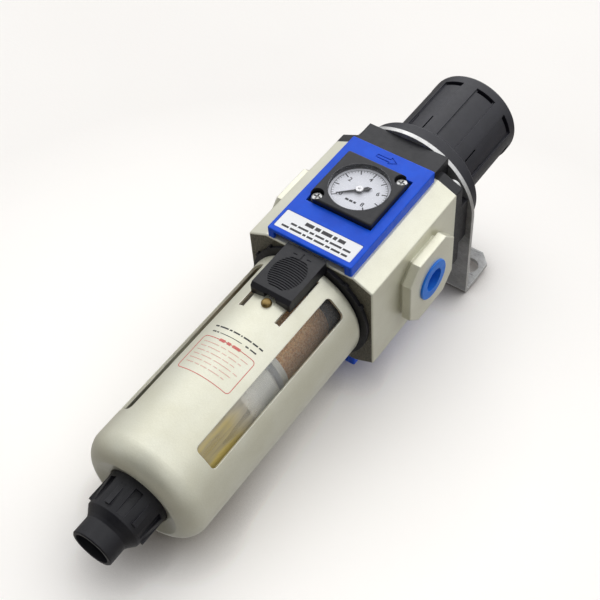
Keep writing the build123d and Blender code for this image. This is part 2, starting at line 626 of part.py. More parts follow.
with BuildPart() as diaphragm_plate:
    turned([
        (0.9, 23.0), (2.9, 23.0), (2.9, 25.6), (13.4, 25.6), (13.4, PLATE_TOP), (9.0, PLATE_TOP),
        (9.0, PLATE_TOP + 1.6), (7.0, PLATE_TOP + 1.6), (7.0, PLATE_TOP), (0.9, PLATE_TOP),
    ])
save(diaphragm_plate.part, "diaphragm_plate")

with BuildPart() as diaphragm_washer:
    tube(23.0, 24.4, 12.6, 2.95)
    tube(21.6, 23.0, 4.4, 2.4)
save(diaphragm_washer.part, "diaphragm_washer")

# ---- valve -----------------------------------------------------------------------------------

with BuildPart() as valve_stem:
    disc(-12.4, 22.9, STEM_RADIUS)
    chamfer(valve_stem.faces().sort_by(Axis.Z)[-1].edges(), 0.5)
save(valve_stem.part, "valve_stem")

with BuildPart() as valve_disc:
    tube(-11.4, SEAT_BOTTOM - 0.02, 5.8, STEM_RADIUS)
    fillet(valve_disc.edges().filter_by(GeomType.CIRCLE).group_by(SortBy.RADIUS)[-1], 0.3)
save(valve_disc.part, "valve_disc")

with BuildPart() as valve_guide:
    disc(-19.0, BOWL_SOCKET_TOP, 12.0)
    disc(BOWL_SOCKET_TOP, SEAT_BOTTOM - 0.4, GUIDE_BORE_RADIUS - 0.03)
    disc(-17.0, SEAT_BOTTOM, 6.6, Mode.SUBTRACT)
    disc(-20.0, -16.0, STUD_RADIUS + 0.02, Mode.SUBTRACT)
    with BuildSketch(Plane.XY.offset(-20.0)) as air_holes:
        with PolarLocations(5.0, 6):
            Circle(1.1)
    extrude(air_holes.sketch, amount=4.0, mode=Mode.SUBTRACT)
save(valve_guide.part, "valve_guide")

with BuildPart() as valve_spring:
    coil(3.2, 0.4, -16.98, -11.42, 4)
save(valve_spring.part, "valve_spring")

# ---- filter ----------------------------------------------------------------------------------

with BuildPart() as deflector:
    tube(-33.0, -19.05, 10.0, 7.3)
    tube(-36.0, -33.0, 19.4, 7.3)
    tube(ELEMENT_TOP, -36.0, 15.4, 7.3)
    # swirl vanes around the skirt
    with BuildSketch(Plane.XY.offset(ELEMENT_TOP + 1.0)) as vanes:
        with PolarLocations(17.2, 16, rotate=True):
            Rectangle(4.4, 1.0, rotation=24)
    extrude(vanes.sketch, amount=-36.0 - ELEMENT_TOP - 1.0)
save(deflector.part, "deflector")

with BuildPart() as filter_element:
    tube(ELEMENT_BOTTOM, ELEMENT_TOP, ELEMENT_RADIUS, ELEMENT_INNER_RADIUS)
    fillet(filter_element.faces().filter_by(Axis.Z).edges(), 0.4)
save(filter_element.part, "filter_element")

with BuildPart() as element_stud:
    disc(-93.0, -17.1, STUD_RADIUS)
    chamfer(element_stud.faces().sort_by(Axis.Z)[0].edges(), 0.4)
save(element_stud.part, "element_stud")

with BuildPart() as baffle:
    hub_bore = STUD_RADIUS + 0.02
    turned([
        (hub_bore, -91.0), (5.0, -91.0), (5.0, -81.0), (SKIRT_RADIUS - 1.2, -82.2),
        (SKIRT_RADIUS - 1.2, SKIRT_BOTTOM), (SKIRT_RADIUS, SKIRT_BOTTOM), (SKIRT_RADIUS, -81.0),
        (SKIRT_RADIUS - 1.4, -79.4), (13.0, -78.8), (13.0, -76.4), (16.2, -75.8),
        (16.2, ELEMENT_BOTTOM), (ELEMENT_INNER_RADIUS - 0.2, ELEMENT_BOTTOM),
        (ELEMENT_INNER_RADIUS - 0.6, -71.4), (hub_bore, -71.4),
    ])
    for turn in (0, 90):
        web = Plane.XY.offset(-90.0).rotated((0, 0, turn))
        for web_side in (-1, 1):
            reach = sorted((web_side * 4.5, web_side * (SKIRT_RADIUS - 0.8)))
            block(web, tuple(reach), (-0.6, 0.6), 8.2)
save(baffle.part, "baffle")

# ---- bowl, ring and guard --------------------------------------------------------------------

with BuildPart() as bowl:
    with BuildSketch(Plane.XZ) as bowl_section:
        with BuildLine():
            Line((BOWL_RADIUS, BOWL_TOP), (BOWL_RADIUS, BOWL_DOME))
            ThreePointArc((BOWL_RADIUS, BOWL_DOME), (20.6, BOWL_DOME - 9.0), (12.5, BOWL_BOTTOM))
            Polyline(
                (12.5, BOWL_BOTTOM), (BOSS_RADIUS, BOWL_BOTTOM - 1.6), (BOSS_RADIUS, BOSS_BOTTOM),
                (DRAIN_BORE_RADIUS, BOSS_BOTTOM), (DRAIN_BORE_RADIUS, BOWL_FLOOR), (5.6, BOWL_FLOOR),
                (11.2, BOWL_FLOOR + 1.6),
            )
            ThreePointArc(
                (11.2, BOWL_FLOOR + 1.6), (18.4, BOWL_DOME - 6.9), (BOWL_INNER_RADIUS, BOWL_DOME + 1.0)
            )
            Polyline(
                (BOWL_INNER_RADIUS, BOWL_DOME + 1.0), (BOWL_INNER_RADIUS, BOWL_TOP), (BOWL_RADIUS, BOWL_TOP)
            )
        make_face()
    revolve(bowl_section.sketch, axis=Axis.Z)
    # groove for the bowl's O-ring
    tube(-25.6, -23.8, BOWL_RADIUS + 1, 21.9, Mode.SUBTRACT)
save(bowl.part, "bowl")

with BuildPart() as bowl_o_ring:
    with BuildSketch(Plane.XZ) as seal_section:
        with Locations((22.62, -24.7)):
            Circle(0.7)
    revolve(seal_section.sketch, axis=Axis.Z)
save(bowl_o_ring.part, "bowl_o_ring")

with BuildPart() as bowl_ring:
    tube(GUARD_TOP, BODY_BOTTOM - 0.1, RING_RADIUS, BOWL_RADIUS)
    # four bayonet lugs, and four short stops around the rim
    for angle in BAYONET_ANGLES:
        wedges(GUARD_TOP, -29.0, BOWL_SOCKET_RADIUS + 0.2, 26.6, 6, 1, angle, Mode.ADD)
    for angle in (208, 230, 310, 332):
        wedges(GUARD_TOP, BODY_BOTTOM - 0.1, RING_RADIUS - 1, RING_RADIUS + 0.9, 1.8, 1, angle, Mode.ADD)
    # flat at the front that leaves room for the lock button
    block(front(23.9), (-BUTTON_HALF_X - 0.5, BUTTON_HALF_X + 0.5), (-60, -30), 6.0, Mode.SUBTRACT)
save(bowl_ring.part, "bowl_ring")

def shoulder_point(radius, angle):
    """A point on the rounded lower shoulder of the guard, measured down from the horizontal."""
    turn = math.radians(angle)
    centre_radius = GUARD_RADIUS - SHOULDER_RADIUS
    return (centre_radius + radius * math.cos(turn), GUARD_SHOULDER - radius * math.sin(turn))


with BuildPart() as bowl_guard:
    inner_radius = GUARD_RADIUS - GUARD_WALL
    inner_bend = SHOULDER_RADIUS - GUARD_WALL
    top_radius = BOWL_RADIUS + 0.1
    with BuildSketch(Plane.XZ) as guard_section:
        with BuildLine():
            Line((GUARD_RADIUS, GUARD_TOP - GUARD_ROUNDING), (GUARD_RADIUS, GUARD_SHOULDER))
            outer_bend = [shoulder_point(SHOULDER_RADIUS, turn * SHOULDER_SWEEP) for turn in (0, 0.5, 1)]
            ThreePointArc(*outer_bend)
            # the underside rises a little to the hole that the drain passes through
            Polyline(
                outer_bend[-1], (GUARD_HOLE_RADIUS, GUARD_LIP), (GUARD_HOLE_RADIUS, GUARD_LIP + GUARD_WALL),
                shoulder_point(inner_bend, SHOULDER_SWEEP),
            )
            ThreePointArc(*[shoulder_point(inner_bend, turn * SHOULDER_SWEEP) for turn in (1, 0.5, 0)])
            Polyline(
                (inner_radius, GUARD_SHOULDER), (inner_radius, GUARD_TOP - 1.4),
                (top_radius, GUARD_TOP - 1.4), (top_radius, GUARD_TOP),
            )
            ThreePointArc(
                (top_radius, GUARD_TOP), (25.0, GUARD_TOP - 0.9), (GUARD_RADIUS, GUARD_TOP - GUARD_ROUNDING)
            )
        make_face()
    revolve(guard_section.sketch, axis=Axis.Z)
    # sight windows, two at the front and two at the back
    window_middle = (WINDOW_START_ANGLE + WINDOW_END_ANGLE) / 2
    window_half_angle = math.radians((WINDOW_END_ANGLE - WINDOW_START_ANGLE) / 2)
    window_width = 2 * GUARD_RADIUS * math.sin(window_half_angle)
    window_height = WINDOW_TOP - WINDOW_BOTTOM
    for direction in [facing + side * window_middle for facing in (270, 90) for side in (-1, 1)]:
        across = (math.cos(math.radians(direction)), math.sin(math.radians(direction)), 0)
        along = (-across[1], across[0], 0)
        sight = Plane(origin=(0, 0, (WINDOW_TOP + WINDOW_BOTTOM) / 2), z_dir=across, x_dir=along)
        with BuildSketch(sight) as window:
            RectangleRounded(window_width, window_height, WINDOW_CORNER)
        extrude(window.sketch, amount=GUARD_RADIUS + 2, mode=Mode.SUBTRACT)
    # slots that free the tongue under the lock button
    for slot_side in (-1, 1):
        slot_x = tuple(sorted((slot_side * TONGUE_HALF_X, slot_side * SLIT_OUTER_X)))
        block(front(0), slot_x, (SLIT_BOTTOM, SLIT_TOP), GUARD_RADIUS + 2, Mode.SUBTRACT)
    round_at(front(0), [(0, RIVET_Z)], 1.0, GUARD_RADIUS + 2, Mode.SUBTRACT)
save(bowl_guard.part, "bowl_guard")

with BuildPart() as lock_rivet:
    round_at(front(inner_radius - 0.5), [(0, RIVET_Z)], 1.7, 0.4)
    round_at(front(inner_radius - 0.2), [(0, RIVET_Z)], 0.98, GUARD_WALL + 0.3)
    round_at(front(GUARD_RADIUS + 0.02), [(0, RIVET_Z)], RIVET_RADIUS, 1.3)
    fillet(lock_rivet.faces().sort_by(Axis.Y)[0].edges(), 0.9)
save(lock_rivet.part, "lock_rivet")

# ---- lock button -----------------------------------------------------------------------------

def button_ridge(step):
    """One groove of the thumb grip: a slice of a shallow arc inside the oval field."""
    sag_radius = 22.0
    middle_z = (BUTTON_TOP + BUTTON_BOTTOM) / 2 - 0.6
    groove_z = middle_z + (step - (RIDGES - 1) / 2) * RIDGE_PITCH
    with BuildSketch(front(BUTTON_FACE_Y)) as groove:
        with Locations((0, groove_z - sag_radius)):
            Circle(sag_radius + 0.3)
            Circle(sag_radius - 0.3, mode=Mode.SUBTRACT)
        with Locations((0, middle_z)):
            Ellipse(GRIP_HALF_X, RIDGES * RIDGE_PITCH / 2 + 0.6, mode=Mode.INTERSECT)
    extrude(groove.sketch, amount=-0.45, mode=Mode.SUBTRACT)


with BuildPart() as lock_button:
    button_x = (-BUTTON_HALF_X, BUTTON_HALF_X)
    button_z = (BUTTON_BOTTOM, BUTTON_TOP)
    block(front(23.0), button_x, button_z, BUTTON_FACE_Y - 23.0)
    lower_edge = lock_button.faces().sort_by(Axis.Y)[0].edges().sort_by(Axis.Z)[0]
    chamfer(lower_edge, length=1.6)
    fillet(lock_button.edges().filter_by(Axis.Y), 0.6)
    # underside: clear of the guard, hollow behind the face
    disc(BUTTON_BOTTOM - 1, BUTTON_TOP + 1, GUARD_RADIUS + RUNNING_GAP, Mode.SUBTRACT)
    hollow_x = (-BUTTON_HALF_X + BUTTON_WALL, BUTTON_HALF_X - BUTTON_WALL)
    hollow_z = (BUTTON_BOTTOM + BUTTON_WALL, BUTTON_TOP - BUTTON_WALL)
    block(front(20), hollow_x, hollow_z, BUTTON_FACE_Y - 1.3 - 20, Mode.SUBTRACT)
    # arch in the lower wall that passes over the rivet, and the rib that bears on the spring
    round_at(front(20), [(0, BUTTON_BOTTOM)], RIVET_RADIUS + 0.6, 8.1, Mode.SUBTRACT)
    block(front(26.1), (-1.6, 1.6), (-46.4, -45.2), BUTTON_FACE_Y - 1.3 - 26.1)
    # two legs that run in the guard's slots
    for leg_side in (-1, 1):
        leg_x = tuple(sorted((leg_side * 7.4, leg_side * 8.9)))
        block(front(23.6), leg_x, (-58.0, -46.0), 3.6)
    for step in range(RIDGES):
        button_ridge(step)
    # closed and open marks near the upper edge
    with BuildSketch(front(BUTTON_FACE_Y)) as marks:
        with Locations((0, BUTTON_TOP - 3.4)):
            Rectangle(0.5, 3.2)
        with Locations((-3.2, BUTTON_TOP - 3.4), (3.2, BUTTON_TOP - 3.4)):
            Rectangle(1.9, 0.5)
    extrude(marks.sketch, amount=-0.3, mode=Mode.SUBTRACT)
save(lock_button.part, "lock_button")

with BuildPart() as lock_spring:
    coil(0.7, 0.2, RIVET_Z + RIVET_RADIUS + 0.05, -46.45, 12, 0.0, -27.05)
save(lock_spring.part, "lock_spring")

# ---- drain -----------------------------------------------------------------------------------

with BuildPart() as drain_knob:
    stem_clearance = DRAIN_STEM_RADIUS + RUNNING_GAP
    boss_clearance = BOSS_RADIUS + RUNNING_GAP
    turned([
        (DRAIN_TOP_RADIUS - 0.6, DRAIN_TOP), (DRAIN_TOP_RADIUS, DRAIN_TOP - 0.8),
        (DRAIN_LOW_RADIUS, DRAIN_LOW), (SPIGOT_RADIUS + 0.7, -158.8),
        (SPIGOT_RADIUS, -160.0), (SPIGOT_RADIUS, SPIGOT_BOTTOM + 0.4),
        (SPIGOT_RADIUS - 0.4, SPIGOT_BOTTOM), (SPIGOT_BORE_RADIUS, SPIGOT_BOTTOM),
        (SPIGOT_BORE_RADIUS, SPIGOT_BORE_TOP), (FOOT_POCKET_RADIUS, SPIGOT_BORE_TOP),
        (FOOT_POCKET_RADIUS, WEB_LOW), (stem_clearance, WEB_LOW), (stem_clearance, WEB_TOP),
        (boss_clearance, WEB_TOP), (boss_clearance, DRAIN_TOP),
    ])
    # six shallow finger flutes and six raised ribs between them
    flute_floor = DRAIN_LOW_RADIUS - 0.15
    rib_root = DRAIN_LOW_RADIUS - 1.0
    wedges(-155.0, -144.6, flute_floor, 15, 8.0, 6, RIB_ANGLE - 30, Mode.SUBTRACT)
    wedges(-154.6, -145.4, rib_root, DRAIN_LOW_RADIUS + 1.15, 5.0, 6, RIB_ANGLE, Mode.ADD)
    # two holes through the web let the water past the stem
    round_at(Plane.XY.offset(WEB_LOW - 1), [(3.6, 0), (-3.6, 0)], 1.0, 4.0, Mode.SUBTRACT)
save(drain_knob.part, "drain_knob")

with BuildPart() as drain_stem:
    disc(-157.3, -155.9, 3.4)
    disc(-156.0, BOWL_FLOOR + 2.0, DRAIN_STEM_RADIUS)
    disc(BOWL_FLOOR + 1.1, BOWL_FLOOR + 2.6, 5.0)
save(drain_stem.part, "drain_stem")

with BuildPart() as drain_o_ring:
    tube(BOWL_FLOOR + 0.1, BOWL_FLOOR + 1.08, 4.6, DRAIN_STEM_RADIUS + 0.02)
save(drain_o_ring.part, "drain_o_ring")

# ---- outlet plug -----------------------------------------------------------------------------

with BuildPart() as port_plug:
    round_at(Plane.YZ.offset(PORT_FACE_X), [(0, 0)], PLUG_FLANGE_RADIUS, 0.9)
    fillet(port_plug.faces().sort_by(Axis.X)[-1].edges(), 0.4)
    round_at(Plane.YZ.offset(PORT_FACE_X), [(0, 0)], PORT_RADIUS - 0.03, -9.0)
    chamfer(port_plug.faces().sort_by(Axis.X)[0].edges(), 0.4)
    round_at(Plane.YZ.offset(PORT_FACE_X + 1), [(0, 0)], PLUG_INNER_RADIUS, -8.8, Mode.SUBTRACT)
save(port_plug.part, "port_plug")
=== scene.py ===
import math

import bmesh
import bpy
from mathutils import Matrix, Vector
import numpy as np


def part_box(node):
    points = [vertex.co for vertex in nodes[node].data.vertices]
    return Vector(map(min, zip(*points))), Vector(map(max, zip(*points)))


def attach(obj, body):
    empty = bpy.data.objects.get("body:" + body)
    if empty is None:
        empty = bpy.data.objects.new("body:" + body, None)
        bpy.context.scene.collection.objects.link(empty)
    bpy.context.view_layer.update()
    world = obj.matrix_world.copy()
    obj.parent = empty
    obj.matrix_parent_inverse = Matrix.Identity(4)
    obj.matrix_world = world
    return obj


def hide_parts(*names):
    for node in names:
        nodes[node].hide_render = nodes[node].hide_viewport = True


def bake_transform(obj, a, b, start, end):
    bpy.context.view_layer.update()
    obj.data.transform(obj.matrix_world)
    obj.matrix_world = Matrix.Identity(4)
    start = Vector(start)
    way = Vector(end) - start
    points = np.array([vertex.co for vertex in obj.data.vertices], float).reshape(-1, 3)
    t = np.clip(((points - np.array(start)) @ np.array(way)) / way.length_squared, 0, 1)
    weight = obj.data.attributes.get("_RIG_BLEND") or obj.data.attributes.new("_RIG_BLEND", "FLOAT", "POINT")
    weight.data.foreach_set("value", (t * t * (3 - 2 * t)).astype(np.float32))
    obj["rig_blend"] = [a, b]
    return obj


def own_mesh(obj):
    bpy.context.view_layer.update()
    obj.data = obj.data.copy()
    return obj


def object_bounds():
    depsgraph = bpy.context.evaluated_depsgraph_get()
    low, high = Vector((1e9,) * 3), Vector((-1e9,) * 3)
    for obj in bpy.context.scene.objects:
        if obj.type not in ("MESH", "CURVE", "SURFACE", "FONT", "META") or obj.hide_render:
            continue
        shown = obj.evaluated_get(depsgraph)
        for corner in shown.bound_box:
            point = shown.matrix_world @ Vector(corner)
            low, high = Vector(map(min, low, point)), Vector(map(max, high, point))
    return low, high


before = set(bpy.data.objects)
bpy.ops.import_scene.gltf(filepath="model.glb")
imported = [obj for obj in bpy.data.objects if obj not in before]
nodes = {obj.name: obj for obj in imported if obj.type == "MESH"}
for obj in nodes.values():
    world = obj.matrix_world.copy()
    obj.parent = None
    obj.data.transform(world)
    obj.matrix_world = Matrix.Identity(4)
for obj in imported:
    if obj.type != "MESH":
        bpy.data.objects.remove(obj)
cad_low, cad_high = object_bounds()
MM = 0.001

# Places that come from the frame, in metres.
dial_low, dial_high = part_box("gauge_dial")
label_low, label_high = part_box("label_plate")
guard_low, guard_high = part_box("bowl_guard")
bracket_low, bracket_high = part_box("bracket")
GUARD_RADIUS = guard_high.x
BODY_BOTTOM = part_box("body")[0].z


# ---- colours and shader helpers -------------------------------------------------------

def srgb(red, green, blue, alpha=1.0):
    """A colour from 0 to 255 display values, as Blender's linear ones."""
    def linear(value):
        value /= 255
        return value / 12.92 if value <= 0.04045 else ((value + 0.055) / 1.055) ** 2.4
    return (linear(red), linear(green), linear(blue), alpha)


class Shader:
    """A node material with short calls for the pieces that the finishes below share."""

    def __init__(self, name):
        self.material = bpy.data.materials.new(name)
        self.material.use_nodes = True
        self.tree = self.material.node_tree
        self.surface = self.tree.nodes["Principled BSDF"]
        self.output = self.tree.nodes["Material Output"]
        self.place = self.node("ShaderNodeTexCoord").outputs["Object"]

    def node(self, kind, **settings):
        made = self.tree.nodes.new(kind)
        for key, value in settings.items():
            setattr(made, key, value)
        return made

    def link(self, source, target):
        self.tree.links.new(source, target)

    def feed(self, target, value):
        """Joins a socket or sets a plain value."""
        if isinstance(value, bpy.types.NodeSocket):
            self.link(value, target)
        else:
            target.default_value = value

    def stretched(self, scale):
        """The object's coordinates, scaled along each axis."""
        mapping = self.node("ShaderNodeMapping")
        self.link(self.place, mapping.inputs["Vector"])
        mapping.inputs["Scale"].default_value = scale
        return mapping.outputs["Vector"]

    def noise(self, size, detail=3.0, roughness=0.55, place=None):
        """Noise whose blobs are about size metres across, from 0 to 1."""
        made = self.node("ShaderNodeTexNoise")
        self.link(place or self.place, made.inputs["Vector"])
        made.inputs["Scale"].default_value = 1 / size
        made.inputs["Detail"].default_value = detail
        made.inputs["Roughness"].default_value = roughness
        return made.outputs["Fac"]

    def grains(self, size, place=None):
        """Distance to the nearest of many scattered points, for grains and specks."""
        made = self.node("ShaderNodeTexVoronoi")
        self.link(place or self.place, made.inputs["Vector"])
        made.inputs["Scale"].default_value = 1 / size
        return made.outputs["Distance"]

    def ramp(self, value, low, high, to_low=0.0, to_high=1.0):
        """Maps a value from one range to another, clamped."""
        made = self.node("ShaderNodeMapRange")
        self.link(value, made.inputs["Value"])
        limits = {"From Min": low, "From Max": high, "To Min": to_low, "To Max": to_high}
        for name, number in limits.items():
            made.inputs[name].default_value = number
        return made.outputs["Result"]

    def mix(self, factor, first, second, blend="MIX"):
        """Mixes two colours."""
        made = self.node("ShaderNodeMix", data_type="RGBA", blend_type=blend)
        self.feed(made.inputs["Factor"], factor)
        self.feed(made.inputs[6], first)
        self.feed(made.inputs[7], second)
        return made.outputs[2]

    def maths(self, operation, first, second=0.5, clamp=False):
        made = self.node("ShaderNodeMath", operation=operation, use_clamp=clamp)
        self.feed(made.inputs[0], first)
        self.feed(made.inputs[1], second)
        return made.outputs[0]

    def axis(self, vector, name):
        made = self.node("ShaderNodeSeparateXYZ")
        self.link(vector, made.inputs[0])
        return made.outputs[name]

    def rounded(self, radius):
        """The surface normal with its sharp edges softened."""
        made = self.node("ShaderNodeBevel", samples=4)
        made.inputs["Radius"].default_value = radius
        return made.outputs["Normal"]

    def edges(self, soft_normal):
        """About 1 along the edges that the softened normal has turned, 0 on flat faces."""
        geometry = self.node("ShaderNodeNewGeometry")
        dot = self.node("ShaderNodeVectorMath", operation="DOT_PRODUCT")
        self.link(geometry.outputs["Normal"], dot.inputs[0])
        self.link(soft_normal, dot.inputs[1])
        return self.ramp(dot.outputs["Value"], 1.0, 0.86)

    def bump(self, height, depth, normal=None):
        """Raises the surface by height times depth metres."""
        made = self.node("ShaderNodeBump")
        made.inputs["Strength"].default_value = 1.0
        made.inputs["Distance"].default_value = depth
        self.link(height, made.inputs["Height"])
        if normal is not None:
            self.link(normal, made.inputs["Normal"])
        return made.outputs["Normal"]

    def set(self, **inputs):
        for name, value in inputs.items():
            self.feed(self.surface.inputs[name.replace("_", " ")], value)


# ---- finishes -----------------------------------------------------------------------------

def champagne_paint(name, light, shade, rough_underside):
    """Satin metallic paint over metal, with a raw cast underside where asked."""
    paint = Shader(name)
    soft = paint.rounded(0.45 * MM)
    mottle = paint.ramp(paint.noise(14 * MM, 4), 0.35, 0.65)
    colour = paint.mix(mottle, light, shade)
    flake = paint.ramp(paint.noise(0.35 * MM, 2), 0.3, 0.7, 0.0, 0.10)
    colour = paint.mix(flake, colour, srgb(120, 116, 92))
    roughness = paint.ramp(paint.noise(3 * MM, 3), 0.3, 0.7, 0.34, 0.42)
    normal = paint.bump(paint.noise(0.9 * MM, 2), 0.03 * MM, soft)
    # Partly worn paint and partly painted highlight: every edge is lightened evenly towards near-white.
    colour = paint.mix(paint.maths("MULTIPLY", paint.edges(soft), 0.8), colour, srgb(255, 254, 246))
    if rough_underside:
        geometry = paint.node("ShaderNodeNewGeometry")
        down = paint.ramp(paint.axis(geometry.outputs["Normal"], "Z"), -0.9, -0.97)
        low = paint.ramp(paint.axis(paint.place, "Z"), BODY_BOTTOM + 1.2 * MM, BODY_BOTTOM + 0.6 * MM)
        raw = paint.maths("MULTIPLY", down, low)
        speck = paint.ramp(paint.noise(0.8 * MM, 5, 0.75), 0.38, 0.62)
        casting = paint.mix(speck, srgb(84, 80, 64), srgb(138, 132, 112))
        colour = paint.mix(raw, colour, casting)
        roughness = paint.maths("ADD", roughness, paint.maths("MULTIPLY", raw, 0.3))
        normal = paint.bump(paint.maths("MULTIPLY", speck, raw), 0.35 * MM, normal)
    paint.set(Base_Color=colour, Roughness=roughness, Metallic=0.42, Normal=normal)
    paint.set(Coat_Weight=0.6, Coat_Roughness=0.34)
    return paint.material


def moulded(name, colour_light, colour_dark, rough_low, rough_high, grain, depth, edge, shine):
    """Injection-moulded plastic with a fine spark-eroded grain."""
    plastic = Shader(name)
    soft = plastic.rounded(0.35 * MM)
    cloud = plastic.ramp(plastic.noise(9 * MM, 3), 0.35, 0.65)
    colour = plastic.mix(cloud, colour_light, colour_dark)
    wear = plastic.maths("MULTIPLY", plastic.edges(soft), plastic.noise(2.5 * MM, 4))
    colour = plastic.mix(plastic.maths("MULTIPLY", wear, 0.8), colour, edge)
    roughness = plastic.ramp(plastic.noise(1.6 * MM, 4), 0.3, 0.7, rough_low, rough_high)
    normal = plastic.bump(plastic.noise(grain, 3, 0.7), depth, soft)
    plastic.set(Base_Color=colour, Roughness=roughness, Normal=normal)
    plastic.set(Specular_IOR_Level=shine)
    return plastic.material


def plated_steel(name):
    """Bright zinc plate with faint rolling lines and a cloudy passivation."""
    steel = Shader(name)
    soft = steel.rounded(0.3 * MM)
    lines = steel.noise(0.35 * MM, 3, 0.6, steel.stretched((0.08, 1.0, 1.0)))
    cloud = steel.ramp(steel.noise(5 * MM, 4), 0.3, 0.7)
    colour = steel.mix(cloud, srgb(184, 184, 184), srgb(208, 208, 207))
    spots = steel.ramp(steel.noise(1.3 * MM, 5, 0.8), 0.45, 0.62)
    colour = steel.mix(steel.maths("MULTIPLY", spots, 0.3), colour, srgb(150, 148, 142))
    roughness = steel.ramp(lines, 0.3, 0.7, 0.26, 0.40)
    normal = steel.bump(lines, 0.012 * MM, soft)
    steel.set(Base_Color=colour, Roughness=roughness, Metallic=0.75, Normal=normal)
    return steel.material


def turned_metal(name, light, dark, rough):
    """Metal with fine turning rings about the main axis."""
    metal = Shader(name)
    soft = metal.rounded(0.2 * MM)
    rings = metal.noise(0.22 * MM, 2, 0.5, metal.stretched((0.02, 0.02, 1.0)))
    colour = metal.mix(metal.ramp(metal.noise(2.2 * MM, 4), 0.35, 0.65), light, dark)
    roughness = metal.ramp(rings, 0.3, 0.7, rough - 0.06, rough + 0.1)
    normal = metal.bump(rings, 0.02 * MM, soft)
    metal.set(Base_Color=colour, Roughness=roughness, Metallic=1.0, Normal=normal)
    return metal.material


def sintered_bronze(name):
    """Packed bronze grains, with painted shade in the pores between them."""
    bronze = Shader(name)
    grain = bronze.grains(0.75 * MM)
    pore_shade = bronze.ramp(grain, 0.3, 0.85)
    tint = bronze.ramp(bronze.noise(0.9 * MM, 3), 0.35, 0.65)
    colour = bronze.mix(tint, srgb(255, 222, 184), srgb(240, 182, 128))
    # Painted shade: the pores between the grains are coloured darker.
    colour = bronze.mix(pore_shade, colour, srgb(204, 150, 108))
    normal = bronze.bump(bronze.ramp(grain, 0.0, 0.8, 1.0, 0.0), 0.28 * MM)
    bronze.set(Base_Color=colour, Roughness=0.45, Metallic=0.1, Normal=normal)
    return bronze.material


def rubber(name):
    """Moulded nitrile with a dusty bloom."""
    nitrile = Shader(name)
    soft = nitrile.rounded(0.2 * MM)
    bloom = nitrile.ramp(nitrile.noise(1.8 * MM, 5), 0.35, 0.7)
    colour = nitrile.mix(bloom, srgb(24, 24, 25), srgb(44, 43, 42))
    normal = nitrile.bump(nitrile.noise(0.3 * MM, 3), 0.03 * MM, soft)
    nitrile.set(Base_Color=colour, Roughness=nitrile.ramp(bloom, 0, 1, 0.6, 0.75), Normal=normal)
    return nitrile.material


def clear_plastic(name, tint, milk, haze, gloss):
    """A clear wall: mostly see-through, with a skin reflection that grows towards grazing angles."""
    clear = Shader(name)
    through = clear.node("ShaderNodeBsdfTransparent")
    through.inputs["Color"].default_value = tint
    clear.set(Base_Color=milk, Roughness=clear.ramp(clear.noise(2 * MM, 3), 0.3, 0.7, gloss, gloss + 0.08))
    clear.set(Normal=clear.bump(clear.noise(5 * MM, 2), 0.05 * MM))
    facing = clear.node("ShaderNodeLayerWeight")
    facing.inputs["Blend"].default_value = 0.25
    amount = clear.ramp(facing.outputs["Facing"], 0.35, 1.0, haze, min(1.0, haze + 0.6))
    return clear, through, amount


def finish_clear(clear, through, amount):
    blend = clear.node("ShaderNodeMixShader")
    clear.feed(blend.inputs["Fac"], amount)
    clear.link(through.outputs[0], blend.inputs[1])
    clear.link(clear.surface.outputs[0], blend.inputs[2])
    clear.link(blend.outputs[0], clear.output.inputs["Surface"])
    return clear.material


def lens_plastic(name):
    """The gauge's lens."""
    return finish_clear(*clear_plastic(name, srgb(254, 254, 255), srgb(250, 251, 252), 0.015, 0.04))


def bowl_plastic(name):
    """The bowl: clear at the top, and milky towards the bottom, with olive streaks low on its +X side."""
    clear, through, amount = clear_plastic(name, srgb(250, 249, 244), srgb(236, 234, 228), 0.06, 0.08)
    height = clear.axis(clear.place, "Z")
    low = clear.ramp(height, -0.090, -0.108)
    streak = clear.noise(3.2 * MM, 3, 0.5, clear.stretched((1.0, 1.0, 0.10)))
    side = clear.ramp(clear.axis(clear.place, "X"), 0.006, 0.016)
    streaked = clear.ramp(streak, 0.25, 0.6, 0.5, 1.0)
    olive_streaks = clear.maths("MULTIPLY", clear.maths("MULTIPLY", side, low), streaked)
    clear.set(Base_Color=clear.mix(olive_streaks, srgb(250, 249, 250), srgb(194, 174, 102)))
    clouds = clear.maths("MULTIPLY", low, clear.ramp(streak, 0.38, 0.62, 0.20, 0.90))
    return finish_clear(clear, through, clear.maths("ADD", amount, clouds, clamp=True))


def printed(name, colour, worn):
    """Screen-printed ink or a printed film, with slightly uneven coverage."""
    ink = Shader(name)
    cover = ink.ramp(ink.noise(0.5 * MM, 4), 0.35, 0.65)
    ink.set(Base_Color=ink.mix(cover, colour, worn), Roughness=ink.ramp(cover, 0, 1, 0.42, 0.55))
    ink.set(Normal=ink.bump(ink.noise(0.4 * MM, 2), 0.01 * MM))
    return ink.material


# How much brighter than plain paper the floor is painted under the unit, as a painted pool of light, where it
# starts to fade and where it ends, how far the painted contact shadow reaches, and the share of the fill light
# that comes through.
FLOOR_PAINTED_GLOW = 1.18
FLOOR_NEAR, FLOOR_FAR = 0.10, 0.22
PAINTED_SHADOW_REACH = 18 * MM
FILL_LEAK = 0.35


